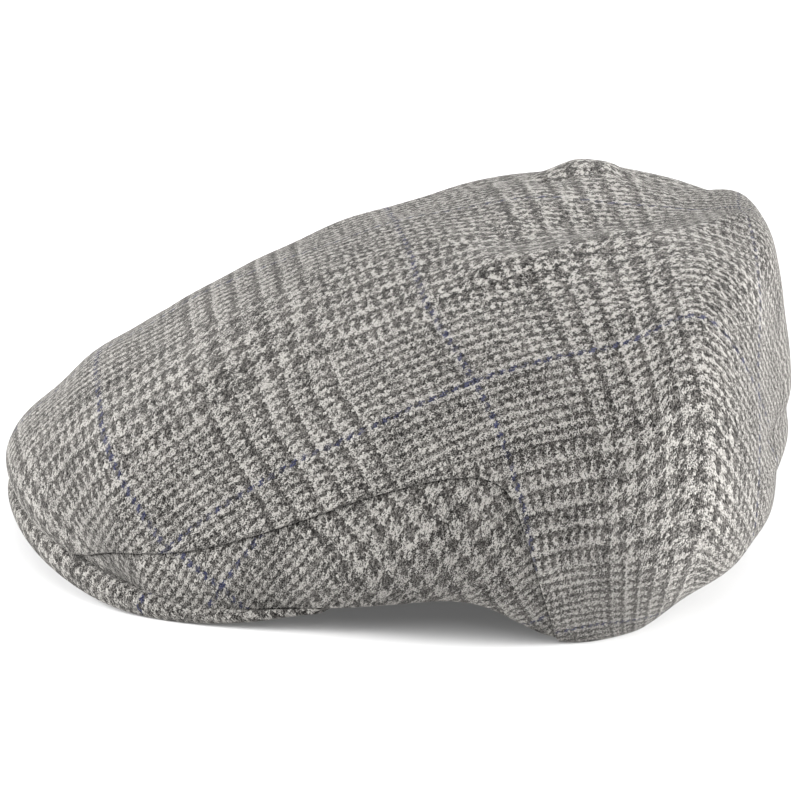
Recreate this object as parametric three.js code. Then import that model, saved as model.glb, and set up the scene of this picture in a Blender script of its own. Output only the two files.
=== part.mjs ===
// Flat cap of checked wool tweed: a one-piece crown, two side panels and a stiff peak.
// Millimetres, +Z up, the peak points to -Y and the wearer's left side is +X.
// The cap stands on z = 0 on the peak's two corners and on the rim behind the side panels.
import * as THREE from "three";

// Driving dimensions
const CROWN_HEIGHT = 125.5;
const CLOTH_THICKNESS = 2.4;
const SEWING_GAP = 0.3;
const AXIS_Y = 57.7;

// Cross sections of the cap by bearing, in degrees from the front round to the back, the same on both sides.
// Each is a profile in the upright plane through the axis at (0, AXIS_Y): a rounded top that falls to the
// bulge, the widest point, and below it a tuck that draws in to the rim, or to the lip over the peak.
// A larger shoulder makes a squarer top.
const SECTIONS = [
  { bearing: 0, rimRadius: 188.5, rimHeight: 23, bulgeRadius: 191.5, bulgeHeight: 31, shoulder: 1.5 },
  { bearing: 13, rimRadius: 180, rimHeight: 18, bulgeRadius: 182.5, bulgeHeight: 27, shoulder: 1.55 },
  { bearing: 24, rimRadius: 163, rimHeight: 11.5, bulgeRadius: 165.5, bulgeHeight: 23, shoulder: 1.7 },
  { bearing: 32, rimRadius: 145, rimHeight: 6, bulgeRadius: 148, bulgeHeight: 22, shoulder: 1.85 },
  { bearing: 44, rimRadius: 121, rimHeight: 8, bulgeRadius: 128, bulgeHeight: 30, shoulder: 2 },
  { bearing: 57, rimRadius: 106, rimHeight: 12, bulgeRadius: 117, bulgeHeight: 42, shoulder: 2.15 },
  { bearing: 72, rimRadius: 96, rimHeight: 14, bulgeRadius: 109.5, bulgeHeight: 48, shoulder: 2.3 },
  { bearing: 86, rimRadius: 89, rimHeight: 2, bulgeRadius: 104.5, bulgeHeight: 52, shoulder: 2.4 },
  { bearing: 94, rimRadius: 86, rimHeight: 0, bulgeRadius: 103, bulgeHeight: 53, shoulder: 2.5 },
  { bearing: 106, rimRadius: 79, rimHeight: 0, bulgeRadius: 101, bulgeHeight: 54, shoulder: 2.75 },
  { bearing: 118, rimRadius: 69, rimHeight: 2, bulgeRadius: 97, bulgeHeight: 54, shoulder: 3.1 },
  { bearing: 143, rimRadius: 54, rimHeight: 4, bulgeRadius: 82.5, bulgeHeight: 54, shoulder: 4 },
  { bearing: 180, rimRadius: 47, rimHeight: 5, bulgeRadius: 76.5, bulgeHeight: 54, shoulder: 4.7 },
];
const TUCK_POWER = 3;

// Side seam between the crown and a side panel: its height above the rim, by bearing.
const SIDE_SEAM = [
  { bearing: 18, rise: 0 },
  { bearing: 25, rise: 10 },
  { bearing: 32, rise: 19 },
  { bearing: 46, rise: 32.5 },
  { bearing: 58, rise: 41.5 },
  { bearing: 70, rise: 46.5 },
  { bearing: 76.5, rise: 48.5 },
  { bearing: 79, rise: 45 },
  { bearing: 82, rise: 32 },
  { bearing: 85, rise: 14 },
  { bearing: 86.3, rise: 5.5 },
  { bearing: 87, rise: 0 },
];

// Soft folds of the crown: each raises or sinks the cloth around a line, and fades over its width.
const FOLDS = [
  { name: "ridge on the right of the top", from: [-30, 62, 122], to: [-29, 69, 121], width: 12, height: 6 },
  { name: "hollow along the top", from: [22, 58, 124], to: [26, 108, 120], width: 14, height: -3 },
  { name: "ridge on the left of the top", from: [52, 34, 110], to: [46, 108, 110], width: 13, height: 2.5 },
  { name: "edge of the top at the back", from: [-24, 116, 119], to: [26, 117, 119], width: 11, height: 3 },
  { name: "flat of the back", from: [-40, 132, 95], to: [40, 133, 95], width: 17, height: -4 },
  { name: "dent across the back", from: [-40, 128, 54], to: [45, 126, 55], width: 8, height: -4 },
  { name: "flat of the front slope", from: [-25, -84, 80], to: [25, -84, 80], width: 22, height: -2 },
];

// Peak: a padded crescent under the lip, by bearing. It stands proud of the lip, its rounded edge drops
// below the lip, and it reaches back under the crown by its depth.
const PEAK = [
  { bearing: 0, proud: 2, drop: 6, depth: 50 },
  { bearing: 12, proud: 3.2, drop: 8.6, depth: 47 },
  { bearing: 24, proud: 4.5, drop: 10.5, depth: 38 },
  { bearing: 32, proud: 4, drop: 6, depth: 29 },
  { bearing: 39, proud: 2.5, drop: 3.6, depth: 19 },
  { bearing: 46, proud: 0.5, drop: 1.4, depth: 8 },
];
const PEAK_THICKNESS = 4.5;
const PEAK_SLOPE = 0.18;

// The peak's rounded edge from its top to its underside, as shares of the proud and of the drop.
const PEAK_EDGE = [
  { out: 0.75, down: 0.25 },
  { out: 1, down: 0.6 },
  { out: 0.5, down: 1 },
];

// Mesh steps
const CROWN_ROWS = 24;
const PANEL_ROWS = 6;
const FRONT_STEPS = 4;
const BACK_STEPS = 15;
const WIDE_STEP_BEARING = 6;
const BEARING_NUDGE = 0.5;
const RUN_NUDGE = 0.002;

const radians = THREE.MathUtils.degToRad;

// A row of a table at any bearing, by a smooth curve through the rows that levels out at both ends.
function rowAt(table, bearing) {
  const at = Math.min(Math.max(Math.abs(bearing), table[0].bearing), table[table.length - 1].bearing);
  let low = 0;
  while (low < table.length - 2 && at >= table[low + 1].bearing) {
    low += 1;
  }
  const start = table[low];
  const end = table[low + 1];
  const span = end.bearing - start.bearing;
  const t = (at - start.bearing) / span;
  const slope = (index, key) => {
    if (index === 0 || index === table.length - 1) {
      return 0;
    }
    const before = table[index - 1];
    const after = table[index + 1];
    return (after[key] - before[key]) / (after.bearing - before.bearing);
  };
  const row = {};
  for (const key of Object.keys(start)) {
    const startWeight = 2 * t ** 3 - 3 * t ** 2 + 1;
    const startSlope = (t ** 3 - 2 * t ** 2 + t) * span * slope(low, key);
    const endSlope = (t ** 3 - t ** 2) * span * slope(low + 1, key);
    row[key] = startWeight * start[key] + startSlope + (1 - startWeight) * end[key] + endSlope;
  }
  return row;
}

function sectionAt(bearing) {
  const section = rowAt(SECTIONS, bearing);
  section.rimHeight = Math.max(0, section.rimHeight);
  const reach = Math.hypot(section.bulgeRadius, CROWN_HEIGHT - section.bulgeHeight);
  section.topShare = reach / (reach + section.bulgeHeight - section.rimHeight);
  return section;
}

// Point of the unfolded cap: run goes from 0 at the top of the crown to 1 at the rim or lip.
function capPoint(bearing, run) {
  const section = sectionAt(bearing);
  let radius = section.bulgeRadius;
  let height = section.bulgeHeight;
  if (run < section.topShare) {
    const angle = (run / section.topShare) * (Math.PI / 2);
    const across = Math.sin(angle);
    const up = Math.cos(angle);
    const round = (across ** section.shoulder + up ** section.shoulder) ** (-1 / section.shoulder);
    radius *= across * round;
    height += (CROWN_HEIGHT - section.bulgeHeight) * up * round;
  } else {
    const tuck = (run - section.topShare) / (1 - section.topShare);
    radius -= (section.bulgeRadius - section.rimRadius) * tuck ** TUCK_POWER;
    height -= (section.bulgeHeight - section.rimHeight) * tuck;
  }
  const turn = radians(bearing);
  return new THREE.Vector3(radius * Math.sin(turn), AXIS_Y - radius * Math.cos(turn), height);
}

// The run at which the cap is a given height above its rim.
function runAtRise(bearing, rise) {
  const section = sectionAt(bearing);
  const height = section.rimHeight + rise;
  if (height <= section.bulgeHeight) {
    const tuck = (section.bulgeHeight - height) / (section.bulgeHeight - section.rimHeight);
    return section.topShare + (1 - section.topShare) * tuck;
  }
  const level = (height - section.bulgeHeight) / (CROWN_HEIGHT - section.bulgeHeight);
  const tangent = (level ** -section.shoulder - 1) ** (1 / section.shoulder);
  return (Math.atan(tangent) / (Math.PI / 2)) * section.topShare;
}

function outwardNormal(bearing, run) {
  if (run < RUN_NUDGE) {
    return new THREE.Vector3(0, 0, 1);
  }
  const down = capPoint(bearing, Math.min(1, run + RUN_NUDGE)).sub(capPoint(bearing, run - RUN_NUDGE));
  const along = capPoint(bearing + BEARING_NUDGE, run).sub(capPoint(bearing - BEARING_NUDGE, run));
  return down.cross(along).normalize();
}

function foldHeight(point) {
  let height = 0;
  const nearest = new THREE.Vector3();
  for (const fold of FOLDS) {
    const line = new THREE.Line3(new THREE.Vector3(...fold.from), new THREE.Vector3(...fold.to));
    line.closestPointToPoint(point, true, nearest);
    height += fold.height * Math.exp(-((nearest.distanceTo(point) / fold.width) ** 2));
  }
  return height;
}

// Outer and inner points of the cloth wall. At its lower edge the wall ends in a level hem.
function wallPoints(bearing, run, atHem) {
  const point = capPoint(bearing, run);
  const normal = outwardNormal(bearing, run);
  const outer = point.clone().addScaledVector(normal, foldHeight(point));
  const inner = outer.clone().addScaledVector(normal, -CLOTH_THICKNESS);
  if (atHem) {
    const turn = radians(bearing);
    inner.set(-Math.sin(turn), Math.cos(turn), 0).multiplyScalar(CLOTH_THICKNESS).add(outer);
  }
  return { outer, inner };
}

function seamRise(bearing) {
  const at = Math.abs(bearing);
  if (at <= SIDE_SEAM[0].bearing || at >= SIDE_SEAM[SIDE_SEAM.length - 1].bearing) {
    return 0;
  }
  return Math.max(0, rowAt(SIDE_SEAM, at).rise);
}

// The panel's upper edge keeps the sewing gap to the seam, also where the seam is steep.
function panelRise(bearing) {
  const radius = sectionAt(bearing).bulgeRadius;
  const nudge = THREE.MathUtils.radToDeg(SEWING_GAP / radius);
  const lowest = Math.min(seamRise(bearing - nudge), seamRise(bearing), seamRise(bearing + nudge));
  return lowest - SEWING_GAP;
}

// Bearings of one half of the cap, from the front to the back, with a column at each row of the seam.
function halfBearings() {
  const bearings = [];
  const first = SIDE_SEAM[0].bearing;
  const last = SIDE_SEAM[SIDE_SEAM.length - 1].bearing;
  for (let step = 0; step < FRONT_STEPS; step += 1) {
    bearings.push((first * step) / FRONT_STEPS);
  }
  SIDE_SEAM.forEach((row, index) => {
    bearings.push(row.bearing);
    const next = SIDE_SEAM[index + 1];
    if (next && next.bearing - row.bearing > WIDE_STEP_BEARING) {
      bearings.push((row.bearing + next.bearing) / 2);
    }
  });
  for (let step = 1; step <= BACK_STEPS; step += 1) {
    bearings.push(last + ((180 - last) * step) / BACK_STEPS);
  }
  return bearings;
}

const HALF_BEARINGS = halfBearings();

// Mesh that gathers points and faces, four corners to a face, in turn as seen from outside.
class Surface {
  constructor() {
    this.positions = [];
    this.indices = [];
  }

  point(vector) {
    this.positions.push(vector.x, vector.y, vector.z);
    return this.positions.length / 3 - 1;
  }

  triangle(a, b, c) {
    this.indices.push(a, b, c);
  }

  quad(a, b, c, d) {
    this.triangle(a, b, c);
    this.triangle(a, c, d);
  }

  // Strip of faces between two equally long lines of points.
  strip(upper, lower) {
    for (let k = 0; k < upper.length - 1; k += 1) {
      this.quad(upper[k], lower[k], lower[k + 1], upper[k + 1]);
    }
  }

  geometry() {
    const geometry = new THREE.BufferGeometry();
    geometry.setAttribute("position", new THREE.Float32BufferAttribute(this.positions, 3));
    geometry.setIndex(this.indices);
    geometry.computeVertexNormals();
    return geometry;
  }
}

// Crown: a closed shell from its top, ringed down to the side seams, the lip and the rim.
function crownGeometry() {
  const left = HALF_BEARINGS;
  const right = HALF_BEARINGS.slice(1, -1).map((bearing) => -bearing).reverse();
  const bearings = [...left, ...right];
  const surface = new Surface();
  const top = wallPoints(0, 0, false);
  const outerTop = surface.point(top.outer);
  const innerTop = surface.point(top.inner);
  const outerRings = [];
  const innerRings = [];
  for (let row = 1; row <= CROWN_ROWS; row += 1) {
    const outerRing = [];
    const innerRing = [];
    for (const bearing of bearings) {
      const rise = seamRise(bearing);
      const run = (runAtRise(bearing, rise) * row) / CROWN_ROWS;
      const { outer, inner } = wallPoints(bearing, run, row === CROWN_ROWS && rise === 0);
      outerRing.push(surface.point(outer));
      innerRing.push(surface.point(inner));
    }
    outerRings.push([...outerRing, outerRing[0]]);
    innerRings.push([...innerRing, innerRing[0]]);
  }
  for (let k = 0; k < bearings.length; k += 1) {
    surface.triangle(outerTop, outerRings[0][k], outerRings[0][k + 1]);
    surface.triangle(innerTop, innerRings[0][k + 1], innerRings[0][k]);
  }
  for (let row = 1; row < CROWN_ROWS; row += 1) {
    surface.strip(outerRings[row - 1], outerRings[row]);
    surface.strip(innerRings[row], innerRings[row - 1]);
  }
  surface.strip(outerRings[CROWN_ROWS - 1], innerRings[CROWN_ROWS - 1]);
  return surface.geometry();
}

// Side panel: a closed sliver of the same wall between the side seam and the rim.
function sidePanelGeometry(side) {
  const bearings = HALF_BEARINGS.filter((bearing) => panelRise(bearing) > CLOTH_THICKNESS);
  const ordered = side > 0 ? bearings : bearings.map((bearing) => -bearing).reverse();
  const surface = new Surface();
  const outerRows = [];
  const innerRows = [];
  for (let row = 0; row <= PANEL_ROWS; row += 1) {
    const outerRow = [];
    const innerRow = [];
    for (const bearing of ordered) {
      const rise = panelRise(bearing) * (1 - row / PANEL_ROWS);
      const { outer, inner } = wallPoints(bearing, runAtRise(bearing, rise), row === PANEL_ROWS);
      outerRow.push(surface.point(outer));
      innerRow.push(surface.point(inner));
    }
    outerRows.push(outerRow);
    innerRows.push(innerRow);
  }
  for (let row = 0; row < PANEL_ROWS; row += 1) {
    surface.strip(outerRows[row], outerRows[row + 1]);
    surface.strip(innerRows[row + 1], innerRows[row]);
  }
  surface.strip(innerRows[0], outerRows[0]);
  surface.strip(outerRows[PANEL_ROWS], innerRows[PANEL_ROWS]);
  const lastColumn = ordered.length - 1;
  surface.strip(outerRows.map((row) => row[0]), innerRows.map((row) => row[0]));
  surface.strip(innerRows.map((row) => row[lastColumn]), outerRows.map((row) => row[lastColumn]));
  return surface.geometry();
}

// One upright slice through the peak, as a loop from its inner edge over the top and back underneath.
function peakSlice(bearing) {
  const section = sectionAt(bearing);
  const { proud, drop, depth } = rowAt(PEAK, bearing);
  const turn = radians(bearing);
  const seat = section.rimHeight - SEWING_GAP;
  const place = (radius, fall) => {
    const level = Math.max(0, seat - fall);
    return new THREE.Vector3(radius * Math.sin(turn), AXIS_Y - radius * Math.cos(turn), level);
  };
  const lip = section.rimRadius;
  const edge = lip + proud;
  const seatEnd = Math.max(lip - 2 * CLOTH_THICKNESS, edge - depth / 2);
  const inner = edge - depth;
  const lift = PEAK_SLOPE * (seatEnd - inner);
  const thickness = Math.min(PEAK_THICKNESS, drop);
  return [
    place(inner, -lift),
    place(seatEnd, 0),
    place(lip, 0),
    ...PEAK_EDGE.map((share) => place(lip + proud * share.out, drop * share.down)),
    place(seatEnd, thickness),
    place(inner, thickness - lift),
  ];
}

function peakGeometry() {
  const half = HALF_BEARINGS.filter((bearing) => bearing <= PEAK[PEAK.length - 1].bearing);
  const bearings = [...half.slice(1).map((bearing) => -bearing).reverse(), ...half];
  const surface = new Surface();
  const slices = bearings.map((bearing) => peakSlice(bearing).map((point) => surface.point(point)));
  for (let k = 0; k < slices.length - 1; k += 1) {
    const near = [...slices[k], slices[k][0]];
    const far = [...slices[k + 1], slices[k + 1][0]];
    surface.strip(far, near);
  }
  const firstSlice = slices[0];
  const lastSlice = slices[slices.length - 1];
  for (let k = 1; k < firstSlice.length - 1; k += 1) {
    surface.triangle(firstSlice[0], firstSlice[k + 1], firstSlice[k]);
    surface.triangle(lastSlice[0], lastSlice[k], lastSlice[k + 1]);
  }
  return surface.geometry();
}

function tweedPiece(name, geometry, color) {
  const material = new THREE.MeshStandardMaterial({ color, roughness: 0.95, metalness: 0 });
  const mesh = new THREE.Mesh(geometry, material);
  mesh.name = name;
  return mesh;
}

const cap = new THREE.Group();
cap.add(tweedPiece("crown", crownGeometry(), 0x8c8a86));
cap.add(tweedPiece("side_panel_left", sidePanelGeometry(1), 0x84827e));
cap.add(tweedPiece("side_panel_right", sidePanelGeometry(-1), 0x84827e));
cap.add(tweedPiece("peak", peakGeometry(), 0x888682));

export default cap;
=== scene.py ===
"""Looks of a flat cap of checked wool tweed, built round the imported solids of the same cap.

Shapes are worked out in millimetres from the sections, seams and folds of the solids, and go into the
meshes in metres. +Z is up, the peak points to -Y and the wearer's left side is +X."""
import math

import bpy
import numpy as np
from mathutils import Matrix, Vector


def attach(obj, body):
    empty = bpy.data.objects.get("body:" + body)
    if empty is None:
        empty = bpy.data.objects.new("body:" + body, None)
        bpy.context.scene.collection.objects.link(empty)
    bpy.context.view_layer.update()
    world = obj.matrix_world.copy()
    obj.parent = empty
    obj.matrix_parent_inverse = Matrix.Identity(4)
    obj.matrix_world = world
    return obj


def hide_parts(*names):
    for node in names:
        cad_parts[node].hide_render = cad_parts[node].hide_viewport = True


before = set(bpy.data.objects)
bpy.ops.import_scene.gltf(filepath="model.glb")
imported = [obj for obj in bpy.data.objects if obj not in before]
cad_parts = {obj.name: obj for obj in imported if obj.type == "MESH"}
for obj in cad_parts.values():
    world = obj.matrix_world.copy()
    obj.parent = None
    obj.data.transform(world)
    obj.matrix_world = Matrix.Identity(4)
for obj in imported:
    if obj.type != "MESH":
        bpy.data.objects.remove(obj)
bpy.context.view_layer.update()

MM = 0.001

# Driving dimensions of the cap, in millimetres
CROWN_HEIGHT = 125.5
CLOTH_THICKNESS = 2.4
SEWING_GAP = 0.3
AXIS_Y = 57.7
TUCK_POWER = 3.0

# Cross sections by bearing in degrees from the front round to the back, the same on both sides:
# bearing, rim radius, rim height, bulge radius, bulge height, shoulder
SECTIONS = np.array([
    (0, 188.5, 23, 191.5, 31, 1.5),
    (13, 180, 18, 182.5, 27, 1.55),
    (24, 163, 11.5, 165.5, 23, 1.7),
    (32, 145, 6, 148, 22, 1.85),
    (44, 121, 8, 128, 30, 2),
    (57, 106, 12, 117, 42, 2.15),
    (72, 96, 14, 109.5, 48, 2.3),
    (86, 89, 2, 104.5, 52, 2.4),
    (94, 86, 0, 103, 53, 2.5),
    (106, 79, 0, 101, 54, 2.75),
    (118, 69, 2, 97, 54, 3.1),
    (143, 54, 4, 82.5, 54, 4),
    (180, 47, 5, 76.5, 54, 4.7),
])

# Side seam between the crown and a side panel: bearing, rise above the rim
SIDE_SEAM = np.array([
    (18, 0), (25, 10), (32, 19), (46, 32.5), (58, 41.5), (70, 46.5),
    (76.5, 48.5), (79, 45), (82, 32), (85, 14), (86.3, 5.5), (87, 0),
])

# Soft folds of the crown, each around a line from one point to another: from, to, width, height
FOLDS = {
    "far knob": ((-30, 62, 122), (-29, 69, 121), 12, 6),
    "valley": ((22, 58, 124), (26, 108, 120), 14, -3),
    "near ridge": ((52, 34, 110), (46, 108, 110), 13, 2.5),
    "back of the top": ((-24, 116, 119), (26, 117, 119), 11, 3),
    "upper back hollow": ((-40, 132, 95), (40, 133, 95), 17, -4),
    "lower back hollow": ((-40, 128, 54), (45, 126, 55), 8, -4),
    "front slope": ((-25, -84, 80), (25, -84, 80), 22, -2),
}

# Creases that lie in the soft cloth only, each along a line of points: points, width, height
CREASES = {
    "near ridge": (
        ((57, 30, 116), (57, 42, 118), (49, 58, 122), (41, 78, 123), (24, 98, 121), (15, 111, 123)), 7, 2.4),
    "valley": (((34, 40, 121), (22, 57, 123), (14, 74, 123), (4, 96, 124)), 16, -4.0),
    "far crease": (((-18, 49, 126), (-19, 65, 128), (-22, 78, 128), (-24, 87, 126), (-17, 98, 124)), 4, -1.6),
    "upper back dent": (((-35, 124, 107), (35, 124, 107)), 10, -1.8),
    "low back dent": (((-40, 126, 36), (0, 130, 36), (40, 126, 36)), 8, -2.8),
    "low back swell": (((-70, 108, 20), (-40, 121, 22), (0, 126, 22), (40, 121, 22), (70, 108, 20)), 11, 2.2),
    "far dent": (((-32, 85, 124), (-32, 98, 122)), 12, -3.2),
    "front dent": (((-30, -118, 52), (30, -118, 52)), 14, -1.6),
    "far fold": (((-54, 67, 114), (-74, 70, 102)), 13, 3.0),
    "centre back groove": (((0, 130, 20), (0, 134, 54), (0, 131, 80), (0, 128, 92)), 2, -0.8),
}

# Slow waves of the soft cloth: direction and length of a wave, its height and its start
WAVES = [
    ((0.9, 0.3, 0.4), 43, 0.35, 0.4),
    ((0.2, -0.8, 0.6), 36, 0.3, 1.9),
    ((-0.5, 0.6, 0.7), 29, 0.22, 4.1),
]

# Peak by bearing: bearing, proud of the lip, drop below the lip, depth under the crown
PEAK = np.array([
    (0, 2, 6, 50),
    (12, 3.2, 8.6, 47),
    (24, 4.5, 10.5, 38),
    (32, 4, 6, 29),
    (39, 2.5, 3.6, 19),
    (46, 0.5, 1.4, 8),
])
PEAK_THICKNESS = 4.5
PEAK_SLOPE = 0.18
# A low ridge on the peak fills the corner under the lip, higher towards the peak's ends, from END_START
# degrees on. It begins RIDGE_FOOT behind the rim, and its crest lies at this share of what stands proud.
PEAK_RIDGE = 0.5
END_RIDGE = 0.5
END_START = 28.0
END_LENGTH = 8.0
RIDGE_FOOT = 0.8
RIDGE_CREST = 0.35
# Front edge of the peak, from the top down: share of what stands proud, share of the drop
PEAK_EDGE = [(0.9, 0.2), (1.0, 0.6), (0.5, 1.0)]
CORNER_CUT = 0.25
CORNER_ROUNDS = 3

# The edge of a cloth wall is turned over in a roll this far out, over half the cloth's thickness.
EDGE_ROLL = 0.8
EDGE_FADE = 5.0
ROLL_STEPS = 7
# At a side seam the two turned edges press together; the crown swells beside it and the panel dips.
SEAM_LAP = 0.25
SEAM_DIP = 0.7
SEAM_DIP_WIDTH = 3.5
SEAM_SWELL = 0.5
SEAM_SWELL_WIDTH = 4.0
SEAM_STEPS = 260
# The crown's lip and the panels' hems press on the peak, less over the last degrees at its ends.
LIP_PRESS = 0.5
HEM_PRESS = 0.8
PRESS_FADE = 2.0
# A side panel ends where it is this high, and near its ends its edges roll by this share of its height.
PANEL_TIP = 0.5
ROLL_SHARE = 0.35

# Mesh steps
CROWN_ROWS = 150
CROWN_INNER_ROWS = 34
CROWN_COLUMNS = 380
PANEL_COLUMNS = 150
PANEL_ROWS = 26
PEAK_COLUMNS = 150
BEARING_NUDGE = 0.4
RUN_NUDGE = 0.002
SPREAD_STEPS = 8000
PANEL_SEARCH_STEPS = 4000
# Columns stand closer where the side seam is steep, and rows near an edge: where, how much, how wide
STEEP_SEAM = 82.0
STEEP_CROWDING = 2.2
STEEP_WIDTH = 6.0
CROWN_EDGE_CROWDING = 3.0
CROWN_EDGE_WIDTH = 0.03
PANEL_EDGE_CROWDING = 2.0
PANEL_EDGE_WIDTH = 0.05
# Keeps powers and divisions clear of zero
TINY = 1e-6

# Lay of the cloth on the crown. Its crosswise yarns lie in leaning planes, each named by the station
# where it meets a set level; behind the pivot they turn to the middle of the back, round an upright line
# that lies farther over on the other side the higher it is.
# station, lean
CLOTH_LEAN = np.array([(-235, 1.75), (-112, 0.45), (-100, 0.45), (24, 0.38), (108, 0)])
CLOTH_LEVEL = 80.0
PIVOT_Y = 108.0
TURN_RADIUS = 60.0
LAST_TURN = math.radians(89.5)
# height, how far over the line of turning lies
TURN_OFFSET = np.array([(85, 0), (120, 45)])
# Foremost station, and the station of the first check line
FRONT_STATION = -232.0
FIRST_CHECK_STATION = 24.0
# station, height of the middle from which the cloth swings over to the sides
CLOTH_CORE = np.array([(-235, 17), (-222, 19), (-157, 30), (-110, 38), (-60, 40), (100, 40)])
# Lines along which the lengthwise measure is taken: before the nose the middle line, then a line this far
# across, and behind the pivot a level on the back, where the cloth has some fullness
NOSE_STATION = -112.0
FRONT_LINE = 0.0
SIDE_LINE = 60.0
BACK_LEVEL = 70.0
BACK_FULLNESS = 1.22
# Steps of the grid of cross sections, how its rays find the cap, and how far the wall is carried on below
# the rim
STATION_STEPS = 400
SWING_STEPS = 360
WIDEST_SWING = 170.0
LONGEST_REACH = 300.0
HALVINGS = 36
BELOW_RIM = 1.3
# Rounds that find a point's station, least distance from the middle, and what keeps places inside the grid
LEAN_ROUNDS = 40
MIDDLE_SLIT = 1e-3
GRID_MARGIN = 1.001
# How the cloth gives over the head: distance behind the first check line, sway of the crosswise yarns at
# the shoulder, their slant over the top, ease of the lengthwise yarns down the side
CLOTH_GIVE = np.array([
    (-117, 6, 0.02, -3),
    (-60, 2, 0.10, -2),
    (-30, 4, 0.15, -4),
    (0, 7, 0.16, -3.5),
    (33, 6, 0.14, 0),
    (60, 5, 0.12, 6),
    (83, 5, 0.08, 19.5),
    (100, 4, 0.04, 15),
    (130, 0, 0, 10),
])
# Measures across: the shoulder, the sway below it, the way over which the slant sets in, the width that
# the ease takes up, how far yarns move to even out the bands of a check, and the width of a check
SHOULDER = 43.0
LOW_SWAY = 7.2
SLANT_START = 12.0
EASE_SPAN = 194.0
EVENING = 1.24
CHECK_ACROSS = 97.0

# Cloth of a side panel: where its check lines cross in the crown's lay, and how far its grain is turned
PANEL_CROSSING = (120.1, -108.0)
PANEL_GRAIN = 19.4

# The tweed: spacing of its lengthwise and crosswise yarns, and its check counted in yarns, the same both
# ways. In a fine or a bold band the first half of each repeat is dark.
YARN_SPACING = (0.866, 1.045)
FINE_BAND = 64
CHECK_REPEAT = 112
FINE_REPEAT = 4
BOLD_REPEAT = 8
NAVY_PLACE = 33
NAVY_YARNS = 2
# A yarn floats over two others and under two, one yarn farther on in each row
FLOAT = 2
TWILL_START = 2

# Wool of the yarns
LIGHT_WOOL = (0.37, 0.356, 0.333, 1)
DARK_WOOL = (0.056, 0.051, 0.047, 1)
NAVY_WOOL = (0.028, 0.033, 0.09, 1)
WOOL_ROUGHNESS = 0.95
WOOL_GLOSS = 0.15
SHEEN = 0.2
SHEEN_ROUGHNESS = 0.35
SHEEN_TINT = (0.9, 0.88, 0.84, 1)

# Unevenness of the cloth, each a noise over the yarn counts: scale, detail
DRIFT = (0.11, 2.0)
FRAY = (1.3, 2.0)
FIBRE = (2.0, 0.0)
TUFT = (0.5, 2.0)
SHADE = (0.08, 2.0)
FADING = (0.14, 1.0)
# Streaks along the twill's lines, with the scale across them and along them
STREAK = (1.0, 0.0)
STREAK_SCALE = (1.25, 0.4)
# How far the yarns wander, in yarns
DRIFT_WAY = 1.2
FRAY_WAY = 2.0
# Share of dark wool: contrast of the check, less where fine bands cross, and what the noises add
CHECK_CONTRAST = 0.88
CROSSING_LOSS = 0.12
FIBRE_BLEND = -0.8
STREAK_BLEND = 1.0
TUFT_BLEND = 0.8
# Strength of the navy yarns, which the nap hides in places
NAVY_MIDDLE = 0.7
NAVY_FADING = 2.2
NAVY_TUFT = 1.2
NAVY_LIMITS = (0.4, 0.85)
# Brightness of the wool: its random tone, a painted shade that darkens the gaps between the yarns' crests, and
# the nap brushed up over the top of the cap, from a height in metres on
BRIGHT_MIDDLE = 0.7
# Painted shade: how much brighter a yarn's crest is than the gap beside it
PAINTED_GAP_SHADE = 0.2
BRIGHT_SHADE = 1.2
BRIGHT_FIBRE = 2.0
BRIGHT_STREAK = -2.4
BRIGHT_NAP = 4.0
BRIGHT_LIMITS = (0.15, 1.1)
NAP_START = 0.085
NAP_RISE = 40.0
# Relief of the weave, in shares of its height in metres
RELIEF_CREST = 0.7
RELIEF_FIBRE = 0.6
RELIEF_TUFT = 0.4
RELIEF_HEIGHT = 0.0006

# The studio, in metres. The floor glows faintly near the cap and white far from it.
FLOOR_HALF = 20.0
FLOOR_GREY = (0.7, 0.7, 0.7, 1)
FLOOR_ROUGHNESS = 0.9
NEAR_GLOW = (0.1, 0.1, 0.1, 1)
FAR_GLOW = (1, 1, 1, 1)
GLOW_START = 0.9
GLOW_WAY = 0.7
SURROUNDINGS = 0.34
LIGHT_AIM = (0, 0, 0.05)
# Soft lights: name, place, size, power
SOFT_LIGHTS = [
    ("softbox_above", (1.1, 0.0, 1.45), 1.4, 15.0),
    ("softbox_front", (0.2, -1.7, 0.7), 1.0, 76.0),
    ("softbox_back", (0.2, 1.75, 0.55), 1.0, 98.0),
]

# Photograph's camera, for a frame of 800 by 800
CAMERA_PLACE = (1.0937, 0.0, 0.4174)
CAMERA_AIM = (0.003, 0.0012, 0.0528)
CAMERA_ROLL = 1.2
LENS = 152.1
SENSOR = 36.0


def through_rows(table, place):
    """Values of a table at any place of its first column: a cubic between neighbouring rows, whose slope
    at a row is that of the line between the rows on either side, and level at both ends."""
    knots, values = table[:, 0].astype(float), table[:, 1:].astype(float)
    place = np.clip(place, knots[0], knots[-1])
    slopes = np.zeros_like(values)
    slopes[1:-1] = (values[2:] - values[:-2]) / (knots[2:] - knots[:-2])[:, None]
    low = np.clip(np.searchsorted(knots, place, side="right") - 1, 0, len(knots) - 2)
    span = (knots[low + 1] - knots[low])[..., None]
    t = (place - knots[low])[..., None] / span
    start = 2 * t**3 - 3 * t**2 + 1
    bend = (t**3 - 2 * t**2 + t) * slopes[low] + (t**3 - t**2) * slopes[low + 1]
    return start * values[low] + (1 - start) * values[low + 1] + span * bend


def unit(vectors):
    """Vectors brought to length 1."""
    return vectors / np.linalg.norm(vectors, axis=-1, keepdims=True)


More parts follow.
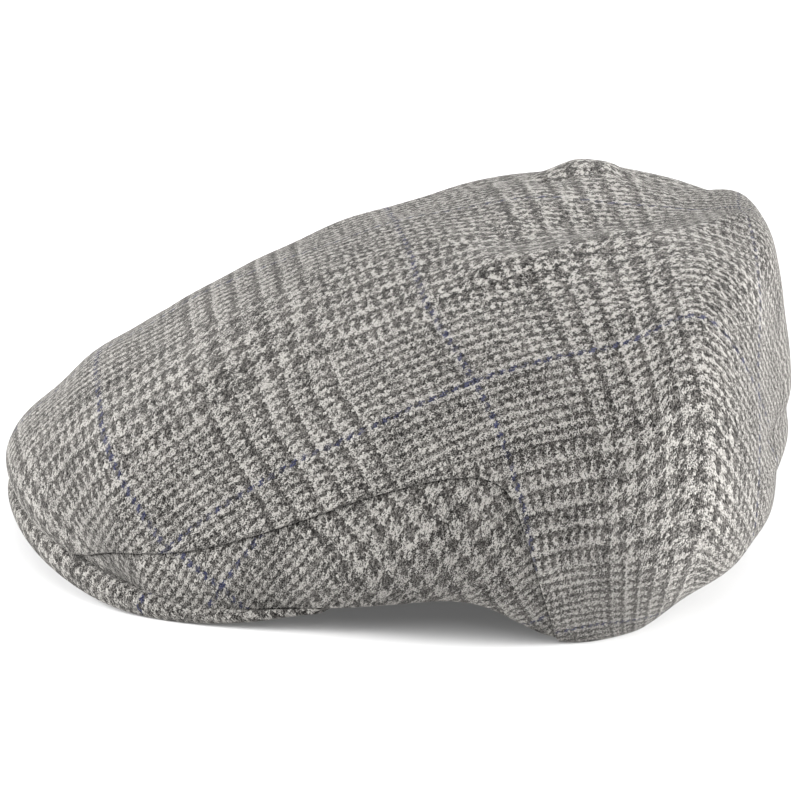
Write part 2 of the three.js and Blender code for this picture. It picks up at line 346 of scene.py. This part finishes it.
def section_at(bearing):
    """Rim radius and height, bulge radius and height, shoulder, and the share of the run above the bulge."""
    turn = np.abs((bearing + 180) % 360 - 180)
    values = np.moveaxis(through_rows(SECTIONS, turn), -1, 0)
    rim_radius, rim_height, bulge_radius, bulge_height, shoulder = values
    rim_height = np.maximum(rim_height, 0)
    reach = np.hypot(bulge_radius, CROWN_HEIGHT - bulge_height)
    share = reach / (reach + bulge_height - rim_height)
    return rim_radius, rim_height, bulge_radius, bulge_height, shoulder, share


def cap_point(bearing, run):
    """Smooth cap before folds: run 0 is the top and 1 the rim. Down to the bulge it is a superellipse with
    the shoulder as its power, and below it the radius draws in with the cube of the way to the rim."""
    rim_radius, rim_height, bulge_radius, bulge_height, shoulder, share = section_at(bearing)
    angle = np.clip(run / share, 0, 1) * math.pi / 2
    round_off = (np.sin(angle)**shoulder + np.cos(angle)**shoulder) ** (-1 / shoulder)
    tuck = np.clip((run - share) / (1 - share), 0, 1)
    radius = bulge_radius * np.sin(angle) * round_off - (bulge_radius - rim_radius) * tuck**TUCK_POWER
    rise = (CROWN_HEIGHT - bulge_height) * np.cos(angle) * round_off
    height = bulge_height + np.where(run < share, rise, 0) - (bulge_height - rim_height) * tuck
    turn = np.radians(bearing)
    return np.stack([radius * np.sin(turn), AXIS_Y - radius * np.cos(turn), height], -1)


def run_at_rise(bearing, rise):
    """The run at which the cap is a given height above its rim, from the same formulas turned round."""
    _, rim_height, _, bulge_height, shoulder, share = section_at(bearing)
    height = rim_height + rise
    tuck = (bulge_height - height) / (bulge_height - rim_height)
    level = np.clip((height - bulge_height) / (CROWN_HEIGHT - bulge_height), TINY, 1)
    tangent = (level**-shoulder - 1) ** (1 / shoulder)
    above = np.arctan(tangent) / (math.pi / 2) * share
    return np.where(height > bulge_height, above, share + (1 - share) * tuck)


def cap_normal(bearing, run):
    """Outward direction: the step down the cap crossed with the step round it."""
    run = np.maximum(run, 2 * RUN_NUDGE)
    down = cap_point(bearing, np.minimum(1, run + RUN_NUDGE)) - cap_point(bearing, run - RUN_NUDGE)
    along = cap_point(bearing + BEARING_NUDGE, run) - cap_point(bearing - BEARING_NUDGE, run)
    return unit(np.cross(down, along))


def distance_to_line(points, start, end):
    """Distance of points to the straight line between two points."""
    start = np.array(start, float)
    line = np.array(end, float) - start
    along = np.clip((points - start) @ line / (line @ line), 0, 1)
    return np.linalg.norm(points - start - along[..., None] * line, axis=-1)


def fold_height(points):
    """Sum of the folds and creases, each a bell curve of the distance to its line, and of the slow waves."""
    height = np.zeros(points.shape[:-1])
    for start, end, width, lift in FOLDS.values():
        height += lift * bell(distance_to_line(points, start, end), width)
    for line, width, lift in CREASES.values():
        away = np.min([distance_to_line(points, *ends) for ends in zip(line, line[1:])], 0)
        height += lift * bell(away, width)
    for direction, length, lift, begin in WAVES:
        height += lift * np.sin(points @ unit(np.array(direction)) * 2 * math.pi / length + begin)
    return height


def seam_relief(points, height, width):
    """Swell or dip beside the side seams, a bell curve of the distance to the nearer seam."""
    bearing = np.linspace(SIDE_SEAM[0, 0], SIDE_SEAM[-1, 0], SEAM_STEPS)
    seam = cap_point(bearing, run_at_rise(bearing, seam_rise(bearing)))
    mirrored = points * np.array([-1, 1, 1])
    near = np.where(points[..., :1] < 0, mirrored, points)
    away = np.full(points.shape[:-1], np.inf)
    for stitch in seam:
        away = np.minimum(away, np.linalg.norm(near - stitch, axis=-1))
    return height * bell(away, width)


def cloth_wall(bearing, run, seam_height=SEAM_SWELL, seam_width=SEAM_SWELL_WIDTH):
    """Outer face of the cloth, folded along its outward direction, and that direction."""
    bearing, run = np.broadcast_arrays(bearing, run)
    base = cap_point(bearing, run)
    normal = cap_normal(bearing, run)
    lift = fold_height(base) + seam_relief(base, seam_height, seam_width)
    return base + normal * lift[..., None], normal


def seam_rise(bearing):
    """Height of the side seam above the rim, and none outside the side panel."""
    turn = np.abs(bearing)
    inside = (turn > SIDE_SEAM[0, 0]) & (turn < SIDE_SEAM[-1, 0])
    return np.where(inside, np.maximum(0, through_rows(SIDE_SEAM, turn)[..., 0]), 0)


def panel_rise(bearing):
    """Upper edge of a side panel: a sewing gap below the seam, also where the seam is steep."""
    nudge = np.degrees(SEWING_GAP / section_at(bearing)[2])
    around = np.stack([seam_rise(bearing - nudge), seam_rise(bearing), seam_rise(bearing + nudge)])
    return around.min(0) - SEWING_GAP


def over_peak(bearing):
    """1 where the edge above the peak presses on it, fading to 0 at the peak's ends."""
    return np.clip((PEAK[-1, 0] - np.abs(bearing)) / PRESS_FADE, 0, 1)


def bell(away, width):
    """Bell curve: 1 at no distance, fading over the width."""
    return np.exp(-(away / width)**2)


def by_steep_seam(bearing):
    """Crowding of columns, larger where the side seam is steep."""
    return 1 + STEEP_CROWDING * bell(np.abs(bearing) - STEEP_SEAM, STEEP_WIDTH)


def spread(low, high, count, crowding):
    """Places from low to high, closer together where the crowding function is larger."""
    fine = np.linspace(low, high, SPREAD_STEPS)
    weight = np.cumsum(crowding(fine))
    return np.interp(np.linspace(weight[0], weight[-1], count), weight, fine)


def pulled_back(outer, edge_out, away, pull):
    """Points near an edge drawn back from it, fading with the distance to the edge."""
    return outer - edge_out * (pull * bell(away, EDGE_FADE))[..., None]


def edge_roll(edge, normal, edge_out, roll):
    """Turned edge: half an ellipse from the outer face round to the inner one."""
    angles = np.linspace(0, math.pi, ROLL_STEPS + 2)[1:-1].reshape(-1, *([1] * edge.ndim))
    half = CLOTH_THICKNESS / 2
    return edge - half * normal + half * np.cos(angles) * normal + roll * np.sin(angles) * edge_out


def outside_cap(points):
    """Above 0 outside the smooth cap and below 0 inside it, from the section's own formula."""
    x, y, z = np.moveaxis(points, -1, 0)
    bearing = np.degrees(np.arctan2(x, AXIS_Y - y))
    rim_radius, rim_height, bulge_radius, bulge_height, shoulder, _ = section_at(bearing)
    level = np.clip((z - bulge_height) / (CROWN_HEIGHT - bulge_height), 0, None)
    tuck = np.clip((bulge_height - z) / (bulge_height - rim_height), 0, BELOW_RIM)
    allowed = bulge_radius - (bulge_radius - rim_radius) * tuck**TUCK_POWER
    return (np.hypot(x, AXIS_Y - y) / allowed)**shoulder + level**shoulder - 1


class ClothLay:
    """The cloth's own measures on the crown, in millimetres: across from the middle line and lengthwise
    from the first check line. They come from a grid of cross sections of the smooth cap, each followed
    from the middle over the side by rays that swing round its core."""

    def __init__(self):
        last = PIVOT_Y + TURN_RADIUS * math.pi / 2
        self.stations = np.linspace(FRONT_STATION, last, STATION_STEPS)
        self.swings = np.linspace(0, WIDEST_SWING, SWING_STEPS)
        station, swing = np.meshgrid(self.stations, self.swings, indexing="ij")
        core = through_rows(CLOTH_CORE, station)[..., 0]
        inner, outer = np.zeros_like(station), np.full_like(station, LONGEST_REACH)
        for _ in range(HALVINGS):
            middle = (inner + outer) / 2
            out = outside_cap(self.place(station, swing, core, middle)) > 0
            outer = np.where(out, middle, outer)
            inner = np.where(out, inner, middle)
        points = self.place(station, swing, core, inner)
        step = np.linalg.norm(np.diff(points, axis=1), axis=-1)
        self.across = np.concatenate([np.zeros((STATION_STEPS, 1)), np.cumsum(step, 1)], 1)
        between = (self.stations[1:] + self.stations[:-1]) / 2
        front, side = (self.line_steps(points, self.across, line) for line in (FRONT_LINE, SIDE_LINE))
        back = BACK_FULLNESS * self.line_steps(points, -points[..., 2], -BACK_LEVEL)
        steps = np.where(between < NOSE_STATION, front, np.where(between < PIVOT_Y, side, back))
        self.lengthwise = np.concatenate([[0], np.cumsum(steps)])
        self.lengthwise -= np.interp(FIRST_CHECK_STATION, self.stations, self.lengthwise)

    @staticmethod
    def place(station, swing, core, reach):
        """Point at a reach from the core of a cross section, in the direction of the swing."""
        angle = np.radians(swing)
        turn = np.clip((station - PIVOT_Y) / TURN_RADIUS, 0, LAST_TURN)
        lean = through_rows(CLOTH_LEAN, station)[..., 0]
        z = core + reach * np.cos(angle)
        side = reach * np.sin(angle)
        over = through_rows(TURN_OFFSET, z)[..., 0]
        y = np.minimum(station, PIVOT_Y) + lean * (CLOTH_LEVEL - z) + side * np.sin(turn) + over * np.tan(turn)
        return np.stack([side * np.cos(turn), y, z], -1)

    @staticmethod
    def line_steps(points, measure, line):
        """Lengths between neighbouring sections along the line where a measure reaches a set value."""
        column = np.clip((measure < line).sum(1), 1, SWING_STEPS - 1)
        row = np.arange(STATION_STEPS)
        before, after = measure[row, column - 1], measure[row, column]
        share = np.clip((line - before) / np.maximum(after - before, TINY), 0, 1)[:, None]
        path = points[row, column - 1] * (1 - share) + points[row, column] * share
        return np.linalg.norm(np.diff(path, axis=0), axis=-1)

    def measure(self, points, side):
        """Across and lengthwise measures of points on the crown; side is 1 on the left and -1 on the right."""
        x, y, z = np.maximum(np.abs(points[..., 0]), MIDDLE_SLIT), points[..., 1], points[..., 2]
        station = y
        for _ in range(LEAN_ROUNDS):
            station = y - through_rows(CLOTH_LEAN, station)[..., 0] * (CLOTH_LEVEL - z)
        behind = y > PIVOT_Y
        over = through_rows(TURN_OFFSET, z)[..., 0]
        turned = PIVOT_Y + TURN_RADIUS * np.arctan2(y - PIVOT_Y, x + over)
        station = np.where(behind, turned, np.minimum(station, PIVOT_Y))
        reach = np.where(behind, x * np.hypot(x + over, y - PIVOT_Y) / (x + over), x)
        swing = np.degrees(np.arctan2(reach, z - through_rows(CLOTH_CORE, station)[..., 0]))
        row = (station - self.stations[0]) / (self.stations[1] - self.stations[0])
        column = swing / (self.swings[1] - self.swings[0])
        row = np.clip(row, 0, STATION_STEPS - GRID_MARGIN)
        column = np.clip(column, 0, SWING_STEPS - GRID_MARGIN)
        i, j = row.astype(int), column.astype(int)
        row_share, column_share = row - i, column - j
        near = self.across[i, j] * (1 - column_share) + self.across[i, j + 1] * column_share
        far = self.across[i + 1, j] * (1 - column_share) + self.across[i + 1, j + 1] * column_share
        across = near * (1 - row_share) + far * row_share
        lengthwise = np.interp(station, self.stations, self.lengthwise)
        sway, slant, ease = np.moveaxis(through_rows(CLOTH_GIVE, lengthwise), -1, 0)
        sway = np.where(across < 2 * SHOULDER, sway, LOW_SWAY)
        over_top = np.clip(SHOULDER - across * side, 0, 2 * SHOULDER)
        lengthwise = lengthwise + sway * np.sin(math.pi * np.maximum(across, SHOULDER) / (2 * SHOULDER))
        lengthwise = lengthwise + slant * over_top**2 / (over_top + SLANT_START)
        across = across + ease * np.sin(math.pi * np.clip(across, 0, EASE_SPAN) / EASE_SPAN)
        return side * (across + EVENING * np.sin(2 * math.pi * (across / CHECK_ACROSS - 1))), lengthwise


def closed_piece(name, rows, cloth, material):
    """Closed mesh of a tube of points, rows by places round it, with both ends drawn to their middle.
    The cloth's measures have one place more round the tube, where it meets its start again."""
    count, around = rows.shape[:2]
    ends = np.stack([rows[0].mean(0), rows[-1].mean(0)])
    points = np.concatenate([rows.reshape(-1, 3), ends]) * MM
    row, place = np.meshgrid(np.arange(count - 1), np.arange(around), indexing="ij")
    after = (place + 1) % around
    quads = np.stack([row * around + place, (row + 1) * around + place,
                      (row + 1) * around + after, row * around + after], -1).reshape(-1, 4)
    quad_cloth = np.stack([cloth[row, place], cloth[row + 1, place],
                           cloth[row + 1, place + 1], cloth[row, place + 1]], 2).reshape(-1, 2)
    place = np.arange(around)
    after = (place + 1) % around
    base = (count - 1) * around
    first = np.stack([np.full(around, count * around), place, after], -1)
    last = np.stack([np.full(around, count * around + 1), base + after, base + place], -1)
    here, there = cloth[0, :-1], cloth[0, 1:]
    first_cloth = np.stack([(here + there) / 2, here, there], 1).reshape(-1, 2)
    here, there = cloth[-1, :-1], cloth[-1, 1:]
    last_cloth = np.stack([(here + there) / 2, there, here], 1).reshape(-1, 2)
    mesh = bpy.data.meshes.new(name)
    mesh.from_pydata(points.tolist(), [], quads.tolist() + first.tolist() + last.tolist())
    layer = mesh.uv_layers.new(name="cloth")
    yarns = np.concatenate([quad_cloth, first_cloth, last_cloth]) / YARN_SPACING
    layer.data.foreach_set("uv", yarns.ravel())
    mesh.shade_smooth()
    mesh.materials.append(material)
    piece = bpy.data.objects.new(name, mesh)
    bpy.context.scene.collection.objects.link(piece)
    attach(piece, "root")
    return piece


def above_table(points):
    """Points with nothing below the level that the cap rests on."""
    return np.concatenate([points[..., :2], np.maximum(points[..., 2:], 0)], -1)


def crown(lay, material):
    """The crown's outer face in rings from its top, the turned edge, and the inner face back to the top."""
    bearing = spread(-180, 180, CROWN_COLUMNS + 1, by_steep_seam)
    edge_run = run_at_rise(bearing, seam_rise(bearing))
    sewn = np.minimum(seam_rise(bearing[:-1]) / CLOTH_THICKNESS, 1)
    pull = EDGE_ROLL - SEAM_LAP * sewn - LIP_PRESS * over_peak(bearing[:-1]) * (1 - sewn)

    def by_edge(s):
        """Crowding of rows, a bell curve at the rim."""
        return 1 + CROWN_EDGE_CROWDING * bell(1 - s, CROWN_EDGE_WIDTH)

    def face(rows):
        """One face in rings, its outward directions, and the directions out of its edge."""
        share = spread(0, 1, rows + 1, by_edge)[1:, None]
        outer, normal = cloth_wall(bearing[None, :-1], edge_run[None, :-1] * share)
        edge = outer[-1]
        tangent = unit(np.roll(edge, -1, 0) - np.roll(edge, 1, 0))
        edge_out = unit(np.cross(tangent, normal[-1]))
        away = np.cumsum(np.linalg.norm(np.diff(outer[::-1], axis=0), axis=-1), 0)[::-1]
        away = np.concatenate([away, np.zeros_like(away[:1])])
        return pulled_back(outer, edge_out, away, pull), normal, edge_out

    outer, normal, edge_out = face(CROWN_ROWS)
    inner, inner_normal, _ = face(CROWN_INNER_ROWS)
    roll = edge_roll(outer[-1], normal[-1], edge_out, EDGE_ROLL)
    inner = inner - CLOTH_THICKNESS * inner_normal
    rows = above_table(np.concatenate([outer, roll, inner[::-1]]))
    cloth = np.stack(lay.measure(np.concatenate([rows, rows[:, :1]], 1), np.where(bearing < 0, -1, 1)), -1)
    piece = closed_piece("crown_cloth", rows, cloth, material)
    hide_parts("crown")


def side_panel(lay, material, side):
    """A side panel: for each bearing a loop down its outer face, round the rim, up its inner face and
    round the seam's edge."""
    fine = np.linspace(SIDE_SEAM[0, 0], SIDE_SEAM[-1, 0], PANEL_SEARCH_STEPS)
    held = fine[panel_rise(fine) > PANEL_TIP]
    bearing = spread(held[0], held[-1], PANEL_COLUMNS, by_steep_seam)
    if side > 0:
        bearing = bearing[::-1]

    def by_edges(s):
        """Crowding of rows, a bell curve at the seam and another at the rim."""
        return 1 + PANEL_EDGE_CROWDING * (bell(1 - s, PANEL_EDGE_WIDTH) + bell(s, PANEL_EDGE_WIDTH))

    share = spread(0, 1, PANEL_ROWS, by_edges)
    rise = panel_rise(bearing)[:, None] * (1 - share)
    run = run_at_rise(bearing[:, None], rise)
    outer, normal = cloth_wall(side * bearing[:, None], run, -SEAM_DIP, SEAM_DIP_WIDTH)
    rolled = np.minimum(EDGE_ROLL, ROLL_SHARE * panel_rise(bearing))[:, None]
    steps = np.linalg.norm(np.diff(outer, axis=1), axis=-1)
    down = np.concatenate([np.zeros((PANEL_COLUMNS, 1)), np.cumsum(steps, 1)], 1)
    edges = []
    press = HEM_PRESS * over_peak(bearing)[:, None]
    for place, sign, lap in ((0, 1, SEAM_LAP), (-1, -1, press)):
        tangent = unit(np.gradient(outer[:, place], axis=0))
        edge_out = sign * unit(np.cross(tangent, normal[:, place]))
        away = np.abs(down - down[:, place, None])
        outer = pulled_back(outer, edge_out[:, None], away, rolled * (1 - lap / EDGE_ROLL))
        edges.append((place, edge_out))
    rolls = [edge_roll(outer[:, place], normal[:, place], edge_out, rolled) for place, edge_out in edges]
    top_roll, rim_roll = (np.moveaxis(roll, 0, 1) for roll in rolls)
    inner = (outer - CLOTH_THICKNESS * normal)[:, ::-1]
    rows = above_table(np.concatenate([outer, rim_roll, inner, top_roll[:, ::-1]], 1))
    across, lengthwise = lay.measure(np.concatenate([rows, rows[:, :1]], 1), side)
    across, lengthwise = side * across - PANEL_CROSSING[0], lengthwise - PANEL_CROSSING[1]
    grain = math.radians(PANEL_GRAIN)
    turned = across * math.cos(grain) + lengthwise * math.sin(grain)
    cloth = np.stack([side * turned, lengthwise * math.cos(grain) - across * math.sin(grain)], -1)
    word = "left" if side > 0 else "right"
    piece = closed_piece(f"side_panel_{word}_cloth", rows, cloth, material)
    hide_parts(f"side_panel_{word}")


def peak(material):
    """The padded peak: upright slices by bearing, each a loop of nine corners. Cutting every corner at a
    quarter of its sides, three times over, rounds the loop."""
    end = PEAK[-1, 0]
    bearing = np.linspace(end, -end, PEAK_COLUMNS)
    rim_radius, rim_height, *_ = section_at(bearing)
    proud, drop, depth = np.moveaxis(through_rows(PEAK, np.abs(bearing)), -1, 0)
    edge = rim_radius + proud
    seat_end = np.maximum(rim_radius - 2 * CLOTH_THICKNESS, edge - depth / 2)
    inner = edge - depth
    lift = PEAK_SLOPE * (seat_end - inner)
    thickness = np.minimum(PEAK_THICKNESS, drop)
    ridge = PEAK_RIDGE + END_RIDGE * np.clip((np.abs(bearing) - END_START) / END_LENGTH, 0, 1)
    level = np.zeros_like(lift)
    corners = [
        (inner, lift), (seat_end, level),
        (rim_radius - RIDGE_FOOT, level), (rim_radius + RIDGE_CREST * proud, ridge),
        *((rim_radius + out * proud, -down * drop) for out, down in PEAK_EDGE),
        (seat_end, -thickness), (inner, lift - thickness),
    ]
    loop = np.stack([np.stack(corner, -1) for corner in corners], 1)
    for _ in range(CORNER_ROUNDS):
        after = np.roll(loop, -1, 1)
        cuts = [(1 - share) * loop + share * after for share in (CORNER_CUT, 1 - CORNER_CUT)]
        loop = np.stack(cuts, 2).reshape(PEAK_COLUMNS, -1, 2)
    radius = loop[..., 0]
    height = np.maximum(0, rim_height[:, None] - SEWING_GAP + loop[..., 1])
    turn = np.radians(bearing)[:, None]
    rows = np.stack([radius * np.sin(turn), AXIS_Y - radius * np.cos(turn), height], -1)
    closed = np.concatenate([rows, rows[:, :1]], 1)
    round_it = np.linalg.norm(np.diff(closed, axis=1), axis=-1)
    across = np.concatenate([np.zeros((PEAK_COLUMNS, 1)), np.cumsum(round_it, 1)], 1)
    steps = np.linalg.norm(np.diff(rows, axis=0), axis=-1).max(1)
    along = np.concatenate([[0], np.cumsum(steps)])
    along = np.broadcast_to((along - along[-1] / 2)[:, None], across.shape)
    piece = closed_piece("peak_cloth", rows, np.stack([along, across], -1), material)
    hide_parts("peak")


class Strand:
    """A value in a node tree. Expressions on it add the Math nodes that work them out."""

    def __init__(self, tree, socket):
        self.tree = tree
        self.socket = socket

    def node(self, kind, settings=(), inputs=(), output=0):
        """Any node: its settings first, then the values or links of its sockets; gives one of its outputs."""
        node = self.tree.nodes.new(kind)
        for name, value in dict(settings).items():
            setattr(node, name, value)
        for key, value in dict(inputs).items():
            socket = node.inputs[key]
            if isinstance(value, Strand):
                self.tree.links.new(value.socket, socket)
            else:
                socket.default_value = value
        return Strand(self.tree, node.outputs[output])

    def sibling(self, output):
        """Another output of the node that this value comes from."""
        return Strand(self.tree, self.socket.node.outputs[output])

    def math(self, operation, *values):
        """This value and others put through one Math node."""
        return self.node("ShaderNodeMath", {"operation": operation}, dict(enumerate((self, *values))))

    def __add__(self, other):
        return self.math("ADD", other)

    def __sub__(self, other):
        return self.math("SUBTRACT", other)

    def __rsub__(self, other):
        return (self * -1) + other

    def __mul__(self, other):
        return self.math("MULTIPLY", other)

    def __truediv__(self, other):
        return self.math("DIVIDE", other)

    def __mod__(self, other):
        return self.math("FLOORED_MODULO", other)

    def __lt__(self, other):
        return self.math("LESS_THAN", other)

    __radd__ = __add__
    __rmul__ = __mul__

    def floor(self):
        return self.math("FLOOR")

    def fraction(self):
        return self.math("FRACT")

    def sine(self):
        return self.math("SINE")

    def clip(self, low, high):
        """This value kept between two limits."""
        return self.math("MAXIMUM", low).math("MINIMUM", high)

    def near(self, place, width):
        """1 within half a width of a place, and 0 beyond it."""
        return (self - place).math("ABSOLUTE") < width / 2

    def choose(self, yes, no):
        """One value where this is 1 and another where it is 0."""
        return no + self * (yes - no)

    def mix(self, start, end):
        """A colour between two, by this share. The colour sockets of the Mix node go by their numbers."""
        return self.node("ShaderNodeMix", {"data_type": "RGBA"}, {0: self, 6: start, 7: end}, 2)

    def brightened(self, share):
        """This colour with all its parts multiplied by a share."""
        grey = self.node("ShaderNodeCombineColor", (), {0: share, 1: share, 2: share})
        settings = {"data_type": "RGBA", "blend_type": "MULTIPLY"}
        return self.node("ShaderNodeMix", settings, {0: 1.0, 6: self, 7: grey}, 2)


def new_material(name):
    """A new material, a first strand to write its expressions from, and its Principled shader."""
    material = bpy.data.materials.new(name)
    material.use_nodes = True
    tree = material.node_tree
    return material, Strand(tree, None), tree.nodes["Principled BSDF"]


def tweed():
    """Glen check in a two-and-two twill. Yarns are counted both ways on the cloth's own measures. In a
    fine band the yarns go two dark and two light, in a bold band four and four, with two navy yarns in
    the middle of each fine band. The yarn on top gives the colour, and its float gives the relief and a
    painted shade in the gaps between the yarns."""
    material, start, shader = new_material("wool_tweed")
    cloth = start.node("ShaderNodeUVMap", {"uv_map": "cloth"})

    def parts(vector):
        """A vector's first part; the others are its siblings."""
        return start.node("ShaderNodeSeparateXYZ", (), {0: vector}, "X")

    def noise(kind, output="Fac", place=cloth):
        """A noise over the cloth, about 0.5 on average."""
        scale, detail = kind
        inputs = {"Vector": place, "Scale": scale, "Detail": detail}
        return start.node("ShaderNodeTexNoise", {"noise_dimensions": "2D"}, inputs, output)

    def dark_yarn(count):
        """1 for a dark yarn and 0 for a light one, by its count in the check."""
        bold = ((count - FINE_BAND) % BOLD_REPEAT) < BOLD_REPEAT / 2
        return (count < FINE_BAND).choose((count % FINE_REPEAT) < FINE_REPEAT / 2, bold)

    u = parts(cloth)
    drift, fray = parts(noise(DRIFT, "Color")), parts(noise(FRAY, "Color"))
    v = u.sibling("Y") + (drift.sibling("Y") - 0.5) * DRIFT_WAY + (fray.sibling("Y") - 0.5) * FRAY_WAY
    u = u + (drift - 0.5) * DRIFT_WAY + (fray - 0.5) * FRAY_WAY
    warp = (u.floor() + NAVY_PLACE) % CHECK_REPEAT
    weft = (v.floor() + NAVY_PLACE) % CHECK_REPEAT
    twill = (warp + weft + TWILL_START) % (2 * FLOAT)
    over = twill < FLOAT
    is_dark = over.choose(dark_yarn(warp), dark_yarn(weft))
    is_navy = over.choose(*(count.near(NAVY_PLACE - 0.5, NAVY_YARNS) for count in (warp, weft)))

    along = over.choose(twill + v.fraction(), twill - FLOAT + u.fraction())
    beside = over.choose(u.fraction(), v.fraction())
    crest = (along * (math.pi / FLOAT)).sine() * (beside * math.pi).sine()

    diagonal = {0: (u + v) * STREAK_SCALE[0], 1: (v - u) * STREAK_SCALE[1]}
    streak = noise(STREAK, place=start.node("ShaderNodeCombineXYZ", (), diagonal)) - 0.5
    fibre, tuft, shade = noise(FIBRE), noise(TUFT), noise(SHADE) - 0.5
    relief = crest * RELIEF_CREST + fibre * RELIEF_FIBRE + tuft * RELIEF_TUFT
    fibre, tuft = fibre - 0.5, tuft - 0.5
    height = parts(start.node("ShaderNodeTexCoord", (), (), "Object")).sibling("Z")
    brushed = ((height - NAP_START) * NAP_RISE).clip(0.0, 1.0)

    crossing = (warp < FINE_BAND) * (weft < FINE_BAND)
    contrast = CHECK_CONTRAST - CROSSING_LOSS * crossing
    blend = fibre * FIBRE_BLEND + streak * STREAK_BLEND + tuft * TUFT_BLEND
    colour = (0.5 + (is_dark - 0.5) * contrast + blend).clip(0.0, 1.0).mix(LIGHT_WOOL, DARK_WOOL)
    strength = (noise(FADING) - 0.5) * NAVY_FADING + tuft * NAVY_TUFT + NAVY_MIDDLE
    colour = (is_navy * strength.clip(*NAVY_LIMITS)).mix(colour, NAVY_WOOL)
    # Painted shade: the colour is darkened in the gaps between the yarns' crests; the noises add random tone
    tone_and_gap_shade = BRIGHT_MIDDLE + PAINTED_GAP_SHADE * crest + shade * BRIGHT_SHADE + fibre * BRIGHT_FIBRE
    tone_and_gap_shade = tone_and_gap_shade + streak * BRIGHT_STREAK - tuft * BRIGHT_NAP * brushed
    colour = colour.brightened(tone_and_gap_shade.clip(*BRIGHT_LIMITS))
    bump = start.node("ShaderNodeBump", (), {"Strength": 1.0, "Distance": RELIEF_HEIGHT, "Height": relief})
    start.tree.links.new(colour.socket, shader.inputs["Base Color"])
    start.tree.links.new(bump.socket, shader.inputs["Normal"])
    shader.inputs["Roughness"].default_value = WOOL_ROUGHNESS
    shader.inputs["Specular IOR Level"].default_value = WOOL_GLOSS
    shader.inputs["Sheen Weight"].default_value = SHEEN
    shader.inputs["Sheen Roughness"].default_value = SHEEN_ROUGHNESS
    shader.inputs["Sheen Tint"].default_value = SHEEN_TINT
    return material


def floor():
    """A wide pale floor at the level the cap rests on. It glows faintly near the cap, and far from it as
    white as the lit part, so that no end of it shows."""
    half = FLOOR_HALF
    corners = [(-half, -half, 0), (half, -half, 0), (half, half, 0), (-half, half, 0)]
    mesh = bpy.data.meshes.new("floor")
    mesh.from_pydata(corners, [], [(0, 1, 2, 3)])
    material, start, shader = new_material("pale_floor")
    place = start.node("ShaderNodeTexCoord", (), (), "Object")
    away = start.node("ShaderNodeVectorMath", {"operation": "LENGTH"}, {0: place}, "Value")
    # Painted light: the faint glow near the cap lightens the shadows on the floor round it
    glow = ((away - GLOW_START) / GLOW_WAY).clip(0.0, 1.0).mix(NEAR_GLOW, FAR_GLOW)
    start.tree.links.new(glow.socket, shader.inputs["Emission Color"])
    shader.inputs["Emission Strength"].default_value = 1.0
    shader.inputs["Base Color"].default_value = FLOOR_GREY
    shader.inputs["Roughness"].default_value = FLOOR_ROUGHNESS
    mesh.materials.append(material)
    piece = bpy.data.objects.new("floor", mesh)
    bpy.context.scene.collection.objects.link(piece)


def facing(place, aim, roll=0.0):
    """Placing of a camera or light that looks from one point to another, turned about that line."""
    look = (Vector(aim) - Vector(place)).to_track_quat("-Z", "Y")
    return Matrix.Translation(place) @ look.to_matrix().to_4x4() @ Matrix.Rotation(math.radians(roll), 4, "Z")


def soft_light(name, place, size, power):
    """A square studio light aimed at the cap."""
    data = bpy.data.lights.new(name, "AREA")
    data.size = size
    data.energy = power
    light = bpy.data.objects.new(name, data)
    light.matrix_world = facing(place, LIGHT_AIM)
    bpy.context.scene.collection.objects.link(light)


def studio():
    """Pale surroundings, three large soft lights and the photograph's camera."""
    scene = bpy.context.scene
    scene.view_settings.view_transform = "Standard"
    world = bpy.data.worlds.new("studio")
    scene.world = world
    world.use_nodes = True
    background = world.node_tree.nodes["Background"]
    background.inputs["Color"].default_value = (1, 1, 1, 1)
    background.inputs["Strength"].default_value = SURROUNDINGS
    for name, place, size, power in SOFT_LIGHTS:
        soft_light(name, place, size, power)
    data = bpy.data.cameras.new("camera")
    data.sensor_width = SENSOR
    data.lens = LENS
    camera = bpy.data.objects.new("camera", data)
    camera.matrix_world = facing(CAMERA_PLACE, CAMERA_AIM, CAMERA_ROLL)
    scene.collection.objects.link(camera)
    scene.camera = camera


cloth_lay = ClothLay()
wool = tweed()
crown(cloth_lay, wool)
side_panel(cloth_lay, wool, 1)
side_panel(cloth_lay, wool, -1)
peak(wool)
floor()
studio()
